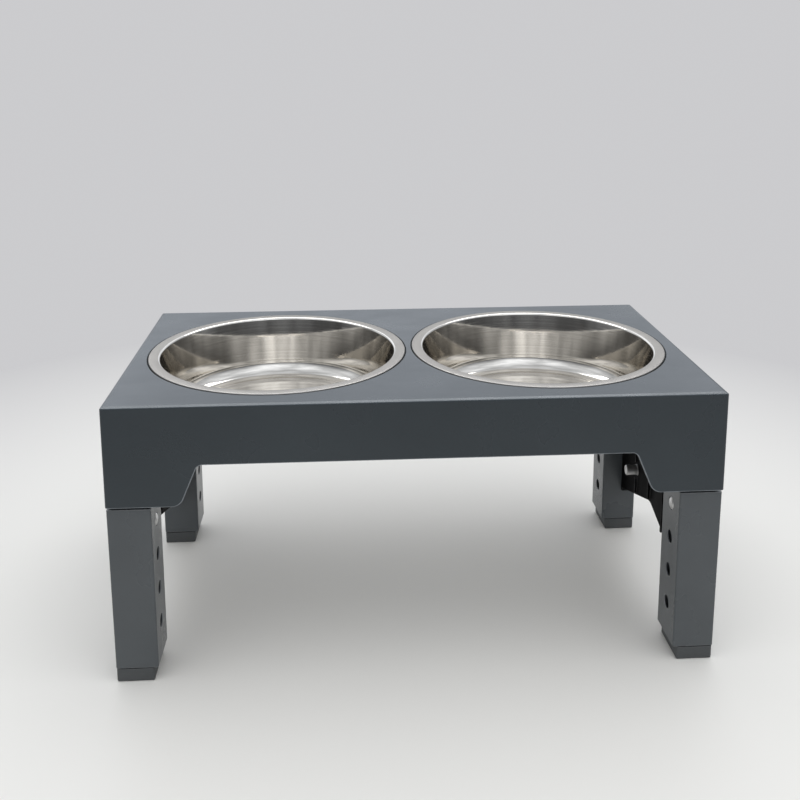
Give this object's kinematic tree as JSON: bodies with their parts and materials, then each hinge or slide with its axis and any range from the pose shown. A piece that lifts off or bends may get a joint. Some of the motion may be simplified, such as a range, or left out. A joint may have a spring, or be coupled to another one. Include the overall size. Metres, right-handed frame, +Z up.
{
  "type": "raised dog feeder stand",
  "caption": "Raised dog feeder: a moulded tray holding two lift-out steel bowls on fold-under legs that telescope to set heights with spring buttons.",
  "frame": {"origin": "on the floor under the middle of the tray, legs unfolded at their shortest", "axes": "+X along the tray to the right, +Y from front to rear, +Z up"},
  "size_m": [0.44, 0.242, 0.2105],
  "materials": {
    "tray": "satin moulded plastic, slate grey",
    "leg": "satin moulded plastic, slate grey",
    "bowl": "polished stainless steel with a satin rim",
    "bracket": "black moulded plastic",
    "foot": "dark grey rubber",
    "button": "bright plated steel",
    "hardware": "zinc plated steel"
  },
  "bodies": {
    "tray": {"tray": "tray", "hinge_pins": "hardware", "bracket_screws": "hardware", "bracket_front_left": "bracket", "bracket_front_right": "bracket", "bracket_rear_left": "bracket", "bracket_rear_right": "bracket"},
    "bowl_left": {"bowl_left": "bowl"},
    "bowl_right": {"bowl_right": "bowl"},
    "legs_left": {"sleeve_front_left": "leg", "sleeve_rear_left": "leg", "stretcher_left": "bracket", "stretcher_screws_left": "hardware", "pull_stud_left": "button"},
    "legs_right": {"sleeve_front_right": "leg", "sleeve_rear_right": "leg", "stretcher_right": "bracket", "stretcher_screws_right": "hardware", "pull_stud_right": "button"},
    "leg_front_left": {"inner_leg_front_left": "leg", "foot_front_left": "foot", "spring_front_left": "hardware"},
    "button_front_left": {"button_front_left": "button"},
    "leg_front_right": {"inner_leg_front_right": "leg", "foot_front_right": "foot", "spring_front_right": "hardware"},
    "button_front_right": {"button_front_right": "button"},
    "leg_rear_left": {"inner_leg_rear_left": "leg", "foot_rear_left": "foot", "spring_rear_left": "hardware"},
    "button_rear_left": {"button_rear_left": "button"},
    "leg_rear_right": {"inner_leg_rear_right": "leg", "foot_rear_right": "foot", "spring_rear_right": "hardware"},
    "button_rear_right": {"button_rear_right": "button"}
  },
  "joints": [
    {"name": "bowl_lift_left", "type": "slide", "parent": "tray", "child": "bowl_left", "axis": [0, 0, 1], "range_m": [0, 0.09]},
    {"name": "bowl_lift_right", "type": "slide", "parent": "tray", "child": "bowl_right", "axis": [0, 0, 1], "range_m": [0, 0.09]},
    {"name": "fold_left", "type": "hinge", "parent": "tray", "child": "legs_left", "pos_m": [-0.1935, 0, 0.1535], "axis": [0, -1, 0], "range_deg": [0, 90]},
    {"name": "fold_right", "type": "hinge", "parent": "tray", "child": "legs_right", "pos_m": [0.1935, 0, 0.1535], "axis": [0, 1, 0], "range_deg": [0, 90]},
    {"name": "height_front_left", "type": "slide", "parent": "legs_left", "child": "leg_front_left", "axis": [0, 0, 1], "range_m": [-0.0798, 0]},
    {"name": "press_front_left", "type": "slide", "parent": "leg_front_left", "child": "button_front_left", "axis": [-1, 0, 0], "range_m": [0, 0.003], "stiffness_N_per_m": 900, "springref_m": -0.002, "deforming": ["spring_front_left"]},
    {"name": "height_front_right", "type": "slide", "parent": "legs_right", "child": "leg_front_right", "axis": [0, 0, 1], "range_m": [-0.0798, 0]},
    {"name": "press_front_right", "type": "slide", "parent": "leg_front_right", "child": "button_front_right", "axis": [1, 0, 0], "range_m": [0, 0.003], "stiffness_N_per_m": 900, "springref_m": -0.002, "deforming": ["spring_front_right"]},
    {"name": "height_rear_left", "type": "slide", "parent": "legs_left", "child": "leg_rear_left", "axis": [0, 0, 1], "range_m": [-0.0798, 0]},
    {"name": "press_rear_left", "type": "slide", "parent": "leg_rear_left", "child": "button_rear_left", "axis": [-1, 0, 0], "range_m": [0, 0.003], "stiffness_N_per_m": 900, "springref_m": -0.002, "deforming": ["spring_rear_left"]},
    {"name": "height_rear_right", "type": "slide", "parent": "legs_right", "child": "leg_rear_right", "axis": [0, 0, 1], "range_m": [-0.0798, 0]},
    {"name": "press_rear_right", "type": "slide", "parent": "leg_rear_right", "child": "button_rear_right", "axis": [1, 0, 0], "range_m": [0, 0.003], "stiffness_N_per_m": 900, "springref_m": -0.002, "deforming": ["spring_rear_right"]}
  ]
}
